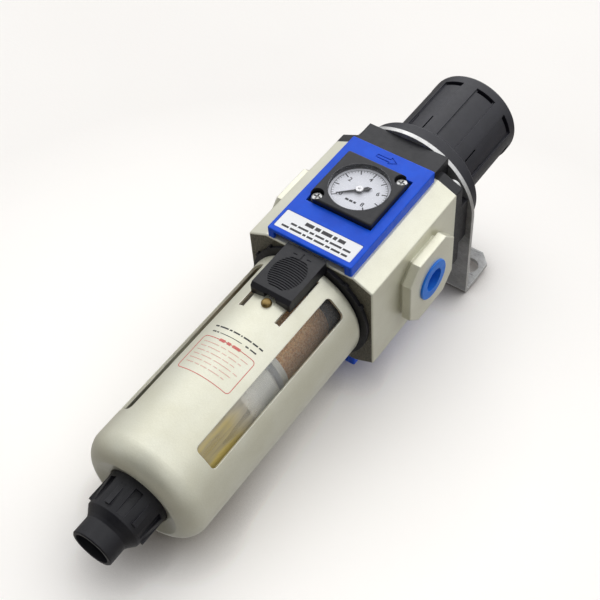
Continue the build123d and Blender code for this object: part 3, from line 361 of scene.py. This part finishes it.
def floor_finish(name):
    """A pale seamless backdrop, painted brighter near the unit as a pool of light and darker where the unit comes
    close as a shadow; it can't be seen from behind, returns less light to the unit than it shows the camera, and
    lets part of the fill light through.
    """
    paper = Shader(name)
    tone = paper.ramp(paper.noise(0.25, 3), 0.3, 0.7)
    colour = paper.mix(tone, srgb(242, 239, 235), srgb(246, 243, 239))
    # Painted light: a pool of light painted on the paper, brighter near a point under the unit and fading out
    # further away.
    reach = paper.node("ShaderNodeVectorMath", operation="DISTANCE")
    paper.link(paper.place, reach.inputs[0])
    reach.inputs[1].default_value = (0.01, 0.03, -0.06)
    painted_glow = paper.ramp(reach.outputs["Value"], FLOOR_NEAR, FLOOR_FAR, FLOOR_PAINTED_GLOW, 1.0)
    brighter = paper.node("ShaderNodeVectorMath", operation="SCALE")
    paper.link(colour, brighter.inputs[0])
    paper.link(painted_glow, brighter.inputs["Scale"])
    # Painted shadow: the paper is darkened towards a warm grey where the unit comes close.
    near = paper.node("ShaderNodeAmbientOcclusion", samples=8)
    near.inputs["Distance"].default_value = PAINTED_SHADOW_REACH
    contact = paper.mix(near.outputs["AO"], srgb(84, 70, 62), (1.0, 1.0, 1.0, 1.0))
    colour = paper.mix(1.0, brighter.outputs["Vector"], contact, "MULTIPLY")
    seen = paper.node("ShaderNodeLightPath").outputs["Is Camera Ray"]
    colour = paper.mix(seen, srgb(150, 144, 135), colour)
    paper.set(Base_Color=colour, Roughness=0.85, Normal=paper.bump(paper.noise(1.5 * MM, 3), 0.05 * MM))
    geometry = paper.node("ShaderNodeNewGeometry")
    unseen = paper.node("ShaderNodeBsdfTransparent")
    blend = paper.node("ShaderNodeMixShader")
    leak = paper.maths("MULTIPLY", paper.maths("SUBTRACT", 1.0, seen), FILL_LEAK)
    paper.link(paper.maths("MAXIMUM", geometry.outputs["Backfacing"], leak), blend.inputs["Fac"])
    paper.link(paper.surface.outputs[0], blend.inputs[1])
    paper.link(unseen.outputs[0], blend.inputs[2])
    paper.link(blend.outputs[0], paper.output.inputs["Surface"])
    return paper.material


# The body's paint is a lighter copy of the guard's: painted light standing in for the brighter sheen on the
# body's front faces.
BODY_PAINT = champagne_paint("champagne_casting", srgb(233, 232, 213), srgb(226, 224, 204), True)
GUARD_PAINT = champagne_paint("champagne_shell", srgb(226, 225, 207), srgb(219, 217, 196), False)
BLUE = moulded(
    "blue_cover", srgb(12, 86, 222), srgb(8, 76, 208), 0.36, 0.48,
    0.5 * MM, 0.02 * MM, srgb(80, 128, 226), 0.22)
PLUG_BLUE = moulded(
    "blue_plug", srgb(44, 128, 232), srgb(34, 112, 218), 0.34, 0.46,
    0.6 * MM, 0.03 * MM, srgb(110, 160, 235), 0.3)
BLACK = moulded(
    "black_case", srgb(24, 24, 30), srgb(19, 19, 24), 0.38, 0.50,
    0.35 * MM, 0.05 * MM, srgb(72, 72, 80), 0.4)
KNOB_BLACK = moulded(
    "black_knob", srgb(33, 33, 42), srgb(27, 27, 35), 0.36, 0.46,
    0.3 * MM, 0.05 * MM, srgb(86, 86, 95), 0.4)
WHITE = moulded(
    "white_baffle", srgb(244, 247, 255), srgb(234, 238, 250), 0.35, 0.45,
    0.6 * MM, 0.03 * MM, srgb(250, 250, 255), 0.5)
STEEL = plated_steel("zinc_plate")
SPRING = turned_metal("spring_wire", srgb(168, 168, 170), srgb(140, 140, 144), 0.3)
BRASS = turned_metal("turned_brass", srgb(150, 128, 84), srgb(108, 90, 54), 0.42)
ALUMINIUM = turned_metal("turned_aluminium", srgb(198, 199, 200), srgb(180, 181, 184), 0.35)
BRONZE = sintered_bronze("sintered_bronze")
RUBBER = rubber("nitrile")
BOWL_CLEAR = bowl_plastic("bowl_clear")
LENS_CLEAR = lens_plastic("lens_clear")
DIAL_WHITE = printed("dial_face", srgb(232, 233, 236), srgb(226, 228, 232))
LABEL_WHITE = printed("label_film", srgb(244, 245, 246), srgb(240, 241, 243))
BLACK_INK = printed("black_ink", srgb(30, 30, 34), srgb(44, 44, 48))
RED_INK = printed("red_ink", srgb(205, 84, 80), srgb(214, 120, 112))
FAINT_RED_INK = printed("faint_red_ink", srgb(222, 148, 138), srgb(228, 176, 164))

FINISHES = {
    "body": BODY_PAINT, "bowl_guard": GUARD_PAINT, "front_cover": BLUE, "rear_cover": BLUE,
    "label_plate": LABEL_WHITE, "gauge_case": BLACK, "gauge_o_ring": RUBBER, "gauge_dial": DIAL_WHITE,
    "gauge_movement": BRASS, "gauge_needle": BLACK_INK, "needle_cap": STEEL,
    "gauge_lens": LENS_CLEAR, "gauge_screws": STEEL,
    "bonnet": BLACK, "bonnet_screws": STEEL, "bracket": STEEL, "panel_nut": KNOB_BLACK, "knob": KNOB_BLACK,
    "adjusting_screw": STEEL, "spring_nut": BRASS, "main_spring": SPRING, "diaphragm": RUBBER,
    "diaphragm_plate": ALUMINIUM, "diaphragm_washer": ALUMINIUM, "valve_stem": BRASS, "valve_disc": RUBBER,
    "valve_guide": BRASS, "valve_spring": SPRING, "deflector": BLACK, "filter_element": BRONZE,
    "element_stud": BRASS, "baffle": WHITE, "bowl": BOWL_CLEAR, "bowl_o_ring": RUBBER, "bowl_ring": BLACK,
    "lock_rivet": BRASS, "lock_button": BLACK, "lock_spring": SPRING, "drain_knob": BLACK,
    "drain_stem": BRASS, "drain_o_ring": RUBBER, "port_plug": PLUG_BLUE,
}


def paint_cad_nodes():
    for name, finish in FINISHES.items():
        slots = nodes[name].data.materials
        slots.clear()
        slots.append(finish)


# ---- springs, and the diaphragm, which changes shape as its joint moves ------------------

# Each spring, the body that it stands on, the joint that it shortens with, and the joint whose
# travel is the amount.
SPRINGS = (
    ("main_spring", "root", "knob_turn", "spring_nut_travel"),
    ("valve_spring", "root", "valve_travel", "valve_travel"),
    ("lock_spring", "bowl", "lock_slide", "lock_slide"))


def make_live_springs():
    """Puts a copy of each rigid spring from the frame in its place, riding on the body that it stands on."""
    for name, body, joint, amount in SPRINGS:
        made = bpy.data.objects.new(name + "_coils", nodes[name].data.copy())
        bpy.context.scene.collection.objects.link(made)
        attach(made, body)
        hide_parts(name)
        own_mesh(made)


def make_live_diaphragm():
    """A diaphragm whose middle follows its plate while its rim stays clamped in the body."""
    made = bpy.data.objects.new("diaphragm_sheet", nodes["diaphragm"].data.copy())
    bpy.context.scene.collection.objects.link(made)
    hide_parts("diaphragm")
    plate_low, plate_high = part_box("diaphragm_plate")
    inner = plate_high.x + 0.7 * MM
    outer = inner + 3.1 * MM
    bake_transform(made, "root", "valve", start=(outer, 0, plate_low.z), end=(inner, 0, plate_low.z))
    # the share of the plate's motion depends on the distance from the axis, all the way round
    shares = made.data.attributes["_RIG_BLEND"].data
    for vertex, share in zip(made.data.vertices, shares):
        along = (outer - math.hypot(vertex.co.x, vertex.co.y)) / (outer - inner)
        along = min(1.0, max(0.0, along))
        share.value = along * along * (3 - 2 * along)


# ---- printed marks, as thin raised ink ----------------------------------------------------

INK = 0.04 * MM


def link_mesh(name, mesh, finish, body):
    """Makes an object from a bmesh, gives it a finish and lets it ride."""
    data = bpy.data.meshes.new(name)
    bmesh.ops.recalc_face_normals(mesh, faces=mesh.faces)
    mesh.to_mesh(data)
    mesh.free()
    made = bpy.data.objects.new(name, data)
    bpy.context.scene.collection.objects.link(made)
    data.materials.append(finish)
    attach(made, body)
    return made


def slab(mesh, outline, lift):
    """A thin closed slab from a flat outline; lift(u, v, height) gives its points in space."""
    low = [mesh.verts.new(lift(u, v, 0.0)) for u, v in outline]
    high = [mesh.verts.new(lift(u, v, INK)) for u, v in outline]
    count = len(outline)
    mesh.faces.new(list(reversed(low)))
    mesh.faces.new(high)
    for i in range(count):
        j = (i + 1) % count
        mesh.faces.new((low[i], low[j], high[j], high[i]))


def strip(mesh, left, right, lift):
    """A thin closed band between two rows of points, for bars that bend with the surface."""
    rows = [[mesh.verts.new(lift(u, v, h)) for u, v in side] for side in (left, right) for h in (0.0, INK)]
    left_low, left_high, right_low, right_high = rows
    for i in range(len(left) - 1):
        j = i + 1
        mesh.faces.new((left_high[i], right_high[i], right_high[j], left_high[j]))
        mesh.faces.new((left_low[j], right_low[j], right_low[i], left_low[i]))
        mesh.faces.new((left_low[i], left_high[i], left_high[j], left_low[j]))
        mesh.faces.new((right_high[i], right_low[i], right_low[j], right_high[j]))
    for i in (0, -1):
        mesh.faces.new((left_low[i], right_low[i], right_high[i], left_high[i]))


def bar(mesh, u0, u1, v, width, lift, steps=1):
    """A straight bar along u, split so that it can follow a curved surface."""
    us = [u0 + (u1 - u0) * i / steps for i in range(steps + 1)]
    strip(mesh, [(u, v - width / 2) for u in us], [(u, v + width / 2) for u in us], lift)


def print_dial():
    """Scale marks, arc band and numbers on the gauge's dial."""
    centre_x = (dial_low.x + dial_high.x) / 2
    centre_z = (dial_low.z + dial_high.z) / 2
    face_y = dial_low.y
    rim = (dial_high.x - dial_low.x) / 2
    sweep_from, sweep_to = math.radians(221), math.radians(-49)

    def lift(u, v, height):
        return Vector((centre_x + u, face_y - height, centre_z + v))

    def ray_bar(mesh, angle, inner, outer, width):
        along = Vector((math.cos(angle), math.sin(angle)))
        across = Vector((-along.y, along.x)) * width / 2
        near, far = along * inner, along * outer
        slab(mesh, [tuple(p) for p in (near - across, far - across, far + across, near + across)], lift)

    def arc_band(mesh, inner, outer, start, end, steps):
        angles = [start + (end - start) * i / steps for i in range(steps + 1)]
        strip(mesh, [(inner * math.cos(a), inner * math.sin(a)) for a in angles],
              [(outer * math.cos(a), outer * math.sin(a)) for a in angles], lift)

    ticks = bmesh.new()
    for step in range(41):
        angle = sweep_from + (sweep_to - sweep_from) * step / 40
        major = step % 5 == 0
        inner = rim * (0.72 if major else 0.83)
        ray_bar(ticks, angle, inner, rim * 0.90, (0.46 if major else 0.14) * MM)
    arc_band(ticks, rim * 0.895, rim * 0.91, sweep_from, sweep_to, 72)
    link_mesh("dial_marks", ticks, BLACK_INK, "root")

    unit = bmesh.new()
    for u0, u1 in ((-2.6, -1.1), (-0.7, 0.8), (1.2, 2.4)):
        bar(unit, u0 * MM, u1 * MM, -rim * 0.50, 1.0 * MM, lift)
    link_mesh("dial_unit_marks", unit, BLACK_INK, "root")

    for step, number in enumerate(("0", "2", "4", "6", "8")):
        angle = sweep_from + (sweep_to - sweep_from) * step / 4
        curve = bpy.data.curves.new("dial_number_" + number, "FONT")
        curve.body = number
        curve.size = 2.9 * MM
        curve.extrude = INK / 2
        curve.offset = 0.04 * MM
        curve.align_x = "CENTER"
        curve.align_y = "CENTER"
        text = bpy.data.objects.new("number_source", curve)
        bpy.context.scene.collection.objects.link(text)
        bpy.context.view_layer.update()
        flat = bpy.data.meshes.new_from_object(text)
        flat.name = "dial_number_" + number
        bpy.data.objects.remove(text)
        middle = Vector((math.cos(angle), math.sin(angle))) * rim * 0.60
        for vertex in flat.vertices:
            x, y, z = vertex.co
            vertex.co = lift(middle.x + x, middle.y + y, z + INK / 2)
        flat.materials.clear()
        flat.materials.append(BLACK_INK)
        made = bpy.data.objects.new("dial_number_" + number, flat)
        bpy.context.scene.collection.objects.link(made)
        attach(made, "root")


def word_bars(mesh, u0, u1, v, height, pattern, lift, steps=1):
    """Dashes of mixed lengths that stand for a printed line, without any lettering."""
    total = sum(pattern) + (len(pattern) - 1)
    unit = (u1 - u0) / total
    u = u0
    for length in pattern:
        bar(mesh, u, u + length * unit, v, height, lift, max(1, int(steps * length / total) + 1))
        u += (length + 1) * unit


def print_label():
    """Three printed lines on the cover's label."""
    centre_x = (label_low.x + label_high.x) / 2
    centre_z = (label_low.z + label_high.z) / 2
    half_x = (label_high.x - label_low.x) / 2
    half_z = (label_high.z - label_low.z) / 2

    def lift(u, v, height):
        return Vector((centre_x + u, label_low.y - height, centre_z + v))

    lines = bmesh.new()
    word_bars(lines, -half_x * 0.42, half_x * 0.62, half_z * 0.48, half_z * 0.36, (5, 3, 6, 2, 4), lift)
    word_bars(lines, -half_x * 0.70, half_x * 0.86, -half_z * 0.12, half_z * 0.20, (4, 7, 3, 6, 2, 8, 5), lift)
    word_bars(lines, -half_x * 0.86, half_x * 0.86, -half_z * 0.62, half_z * 0.20, (5, 8, 2, 4, 7, 3, 6, 4), lift)
    link_mesh("label_lines", lines, BLACK_INK, "root")


def print_guard():
    """Two dark lines over a red rounded frame with faint red lines, wrapped on the guard's front."""

    def lift(u, v, height):
        radius = GUARD_RADIUS + height + 0.01 * MM
        angle = u / GUARD_RADIUS
        return Vector((radius * math.sin(angle), -radius * math.cos(angle), v))

    top, low = -84.6 * MM, -101.6 * MM
    half = 12.2 * MM
    corner = 1.6 * MM
    line = 0.30 * MM

    dark = bmesh.new()
    word_bars(dark, -11.1 * MM, 11.2 * MM, -79.3 * MM, 0.62 * MM, (3, 7, 2, 5, 1, 6, 4, 3), lift, 16)
    word_bars(dark, -10.4 * MM, -7.3 * MM, -82.0 * MM, 0.55 * MM, (4, 2), lift, 4)
    bar(dark, -6.6 * MM, 3.4 * MM, -82.0 * MM, 0.26 * MM, lift, 10)
    word_bars(dark, 5.2 * MM, 10.1 * MM, -82.0 * MM, 0.55 * MM, (2, 4), lift, 4)
    link_mesh("guard_dark_lines", dark, BLACK_INK, "bowl")

    def rounded_frame(inset):
        points = []
        corners = (
            (half - corner, top - corner, 90, 0), (half - corner, low + corner, 0, -90),
            (-half + corner, low + corner, -90, -180), (-half + corner, top - corner, 180, 90))
        for index, (u, v, start, end) in enumerate(corners):
            for i in range(7):
                angle = math.radians(start + (end - start) * i / 6)
                reach = corner - inset
                points.append((u + reach * math.cos(angle), v + reach * math.sin(angle)))
            following = corners[(index + 1) % 4]
            if index in (1, 3):
                u_next = following[0]
                for i in range(1, 12):
                    share = i / 12
                    v_edge = low + inset if index == 1 else top - inset
                    points.append((u + (u_next - u) * share, v_edge))
        points.append(points[0])
        return points

    red = bmesh.new()
    strip_closed = rounded_frame(0.0), rounded_frame(line)
    strip(red, strip_closed[1], strip_closed[0], lift)
    bmesh.ops.remove_doubles(red, verts=red.verts, dist=0.001 * MM)
    word_bars(red, -4.6 * MM, 4.9 * MM, top - line / 2, 1.2 * MM, (3, 2, 4), lift, 8)
    faint = bmesh.new()
    rows = ((9, 3, 6, 4), (4, 8, 3, 5, 2), (6, 2, 7, 4, 3), (3, 5, 8, 2), (7, 4, 2, 6), (5, 3, 4, 7, 2))
    for index, pattern in enumerate(rows):
        v = top - 2.7 * MM - index * 2.1 * MM
        word_bars(faint, -half * 0.84, half * (0.84 - 0.12 * (index % 3)), v, 0.24 * MM, pattern, lift, 16)
    link_mesh("guard_red_frame", red, RED_INK, "bowl")
    link_mesh("guard_red_lines", faint, FAINT_RED_INK, "bowl")


# ---- light, floor and camera -------------------------------------------------------------------

VIEW_FORWARD = Vector((-0.39784, 0.78244, 0.47907))
VIEW_UP = Vector((-0.42905, -0.62023, 0.65668))
VIEW_RIGHT = VIEW_FORWARD.cross(VIEW_UP).normalized()
CAMERA_PLACE = Vector((0.1806, -0.3623, -0.2600))
CAMERA_LENS = 69.07


def make_camera():
    camera = bpy.data.objects.new("camera", bpy.data.cameras.new("camera"))
    bpy.context.scene.collection.objects.link(camera)
    camera.data.lens = CAMERA_LENS
    camera.data.clip_start = 0.01
    camera.data.clip_end = 20.0
    camera.location = CAMERA_PLACE
    camera.rotation_mode = "QUATERNION"
    true_up = VIEW_RIGHT.cross(VIEW_FORWARD).normalized()
    turn = Matrix((VIEW_RIGHT, true_up, -VIEW_FORWARD)).transposed()
    camera.rotation_quaternion = turn.to_quaternion()
    bpy.context.scene.camera = camera


FLOOR_HALF = 1.6


def make_floor():
    """The surface that the unit lies back on: it touches the guard and the bracket's heel."""
    heel = Vector((0, bracket_high.y + 0.2 * MM, bracket_low.z))
    # the steepest plane through the heel that stays clear of everything below it
    slope = min(
        (heel.y - vertex.co.y) / (heel.z - vertex.co.z)
        for name in ("bowl_guard", "drain_knob", "rear_cover")
        for vertex in nodes[name].data.vertices if vertex.co.z < heel.z - MM)
    along = Vector((0, slope, 1)).normalized()
    side = Vector((1, 0, 0))
    middle = heel + along * (guard_low.z - heel.z) / 2
    mesh = bmesh.new()
    corners = [middle + (side * x + along * z) * FLOOR_HALF for x, z in ((-1, -1), (1, -1), (1, 1), (-1, 1))]
    mesh.faces.new([mesh.verts.new(p) for p in corners])
    data = bpy.data.meshes.new("floor")
    mesh.to_mesh(data)
    mesh.free()
    floor = bpy.data.objects.new("floor", data)
    bpy.context.scene.collection.objects.link(floor)
    data.materials.append(floor_finish("floor_paper"))


def soft_box(name, direction, distance, size, power, tint):
    """A square area light that faces the middle of the object."""
    lamp = bpy.data.lights.new(name, "AREA")
    lamp.shape = "SQUARE"
    lamp.size = size
    lamp.energy = power
    lamp.color = tint
    holder = bpy.data.objects.new(name, lamp)
    bpy.context.scene.collection.objects.link(holder)
    target = (cad_low + cad_high) / 2
    holder.location = target + direction.normalized() * distance
    holder.rotation_mode = "QUATERNION"
    holder.rotation_quaternion = (-direction).to_track_quat("-Z", "Y")


KEY_FROM = Vector((-0.25, -0.55, 0.80)).normalized()
KEY_DISTANCE = 1.3
KEY_SIZE = 1.1
KEY_POWER = 2.2
# A panel starts to glow at this cosine from its middle, and is at full strength from this one.
PANEL_EDGE = 0.4
PANEL_FULL = 0.95
# Each panel of light: the way it lies from the object, and its strength.
SKY_PANELS = (
    ((0, -0.5, 0.86), 1.36), ((-0.9, -0.43, 0), 0.70),
    ((0, -1, 0), 0.36), ((0.9, -0.43, 0), 0.64), ((0, 1, 0.2), 0.80))


def make_sky():
    """Broad soft panels around the object as a sky, brightest from the knob's end."""
    world = bpy.data.worlds.new("studio")
    bpy.context.scene.world = world
    world.use_nodes = True
    tree = world.node_tree
    place = tree.nodes.new("ShaderNodeTexCoord").outputs["Generated"]
    sky = tree.nodes["Background"]
    sky.inputs["Color"].default_value = (0.985, 0.99, 1.0, 1.0)
    total = None
    for direction, strength in SKY_PANELS:
        dot = tree.nodes.new("ShaderNodeVectorMath")
        dot.operation = "DOT_PRODUCT"
        dot.inputs[1].default_value = Vector(direction).normalized()
        tree.links.new(place, dot.inputs[0])
        fade = tree.nodes.new("ShaderNodeMapRange")
        fade.interpolation_type = "SMOOTHSTEP"
        limits = {"From Min": PANEL_EDGE, "From Max": PANEL_FULL, "To Min": 0.0, "To Max": strength}
        for name, number in limits.items():
            fade.inputs[name].default_value = number
        tree.links.new(dot.outputs["Value"], fade.inputs["Value"])
        if total is None:
            total = fade.outputs["Result"]
            continue
        add = tree.nodes.new("ShaderNodeMath")
        tree.links.new(total, add.inputs[0])
        tree.links.new(fade.outputs["Result"], add.inputs[1])
        total = add.outputs[0]
    tree.links.new(total, sky.inputs["Strength"])


def make_light():
    soft_box("key", KEY_FROM, KEY_DISTANCE, KEY_SIZE, KEY_POWER, (1.0, 0.995, 0.98))
    make_sky()
    bpy.context.scene.view_settings.view_transform = "Standard"


paint_cad_nodes()
make_live_springs()
make_live_diaphragm()
print_dial()
print_label()
print_guard()
make_floor()
make_light()
make_camera()

bpy.context.view_layer.update()
